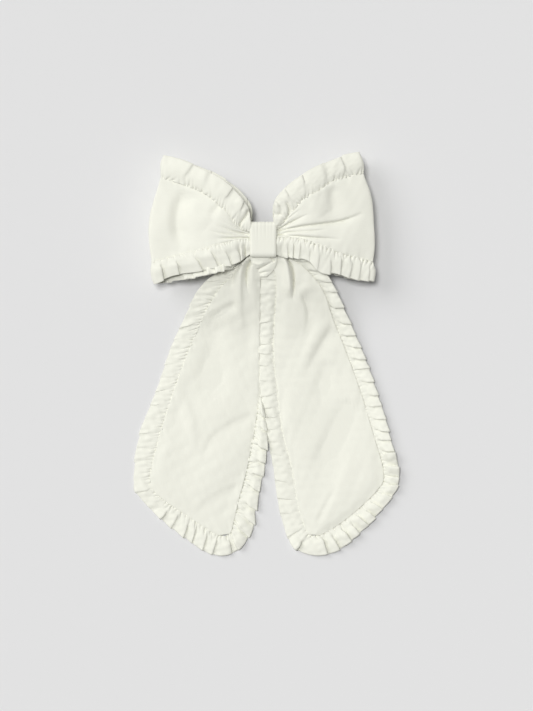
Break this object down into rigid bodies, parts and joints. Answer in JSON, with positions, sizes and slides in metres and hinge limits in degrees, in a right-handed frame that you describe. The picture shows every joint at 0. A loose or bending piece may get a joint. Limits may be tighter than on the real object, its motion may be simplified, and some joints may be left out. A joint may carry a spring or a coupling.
{
  "type": "hair bow",
  "caption": "Fabric hair bow with ruffled loops and long ruffled tails, on a hinged hair barrette.",
  "frame": {"origin": "under the middle of the knot, on the flat underside of the barrette's clasp arm", "axes": "+Z out of the face of the bow, +Y towards the top of the bow, away from the tails, +X to the right as the bow is seen from the front"},
  "size_m": [0.1634, 0.2475, 0.027],
  "materials": {
    "loop_cotton": "matt plain-weave cotton",
    "tail_cotton": "matt plain-weave cotton",
    "lining_cotton": "matt plain-weave cotton",
    "knot_cotton": "matt plain-weave cotton",
    "thread": "sewing thread",
    "felt": "wool felt",
    "clip_steel": "nickel-plated spring steel"
  },
  "bodies": {
    "bow": {"knot_wrap": "knot_cotton", "binding_thread": "thread", "gathered_centre": "knot_cotton", "left_tail_top": "tail_cotton", "right_tail_top": "tail_cotton", "felt_pad": "felt", "lashing_left": "thread", "lashing_right": "thread", "barrette_base": "clip_steel", "hinge_pin": "clip_steel", "catch_bracket": "clip_steel", "catch_rivet": "clip_steel"},
    "left_loop": {"left_loop_band": "loop_cotton", "left_loop_top_ruffle": "loop_cotton", "left_loop_bottom_ruffle": "loop_cotton"},
    "right_loop": {"right_loop_band": "loop_cotton", "right_loop_top_ruffle": "loop_cotton", "right_loop_bottom_ruffle": "loop_cotton"},
    "left_tail": {"left_tail_front": "tail_cotton", "left_tail_back": "lining_cotton", "left_tail_ruffle": "tail_cotton"},
    "right_tail": {"right_tail_front": "tail_cotton", "right_tail_back": "lining_cotton", "right_tail_ruffle": "tail_cotton"},
    "clasp": {"clasp_arm": "clip_steel"},
    "upper_wing": {"catch_wing_upper": "clip_steel"},
    "lower_wing": {"catch_wing_lower": "clip_steel"},
    "tension": {"tension_bar": "clip_steel"}
  },
  "joints": [
    {"name": "clasp_hinge", "type": "hinge", "parent": "bow", "child": "clasp", "pos_m": [-0.034, 0, 0.006], "axis": [0, 1, 0], "range_deg": [0, 95]},
    {"name": "catch_squeeze_upper", "type": "hinge", "parent": "bow", "child": "upper_wing", "pos_m": [0.0357, 0.00215, 0.0092], "axis": [-1, 0, 0], "range_deg": [0, 8], "stiffness_Nm_per_rad": 0.02},
    {"name": "catch_squeeze_lower", "type": "hinge", "parent": "bow", "child": "lower_wing", "pos_m": [0.0357, -0.00215, 0.0092], "axis": [1, 0, 0], "range_deg": [0, 8], "stiffness_Nm_per_rad": 0.02},
    {"name": "tension_flex", "type": "hinge", "parent": "bow", "child": "tension", "pos_m": [-0.0305, 0, 0.0099], "axis": [0, -1, 0], "range_deg": [0, 1.5], "stiffness_Nm_per_rad": 0.1},
    {"name": "left_loop_flex", "type": "hinge", "parent": "bow", "child": "left_loop", "pos_m": [-0.0123, 0, 0.0245], "axis": [0, 1, 0], "range_deg": [0, 25], "stiffness_Nm_per_rad": 0.01},
    {"name": "right_loop_flex", "type": "hinge", "parent": "bow", "child": "right_loop", "pos_m": [0.0123, 0, 0.0245], "axis": [0, -1, 0], "range_deg": [0, 25], "stiffness_Nm_per_rad": 0.01},
    {"name": "left_tail_lift", "type": "hinge", "parent": "bow", "child": "left_tail", "pos_m": [-0.016, -0.0285, 0.0115], "axis": [-1, 0, 0], "range_deg": [0, 70]},
    {"name": "right_tail_lift", "type": "hinge", "parent": "bow", "child": "right_tail", "pos_m": [0.022, -0.0285, 0.0115], "axis": [-1, 0, 0], "range_deg": [0, 70]}
  ],
  "couplings": [
    {"joint": "catch_squeeze_lower", "follows": "catch_squeeze_upper", "ratio": 1}
  ]
}
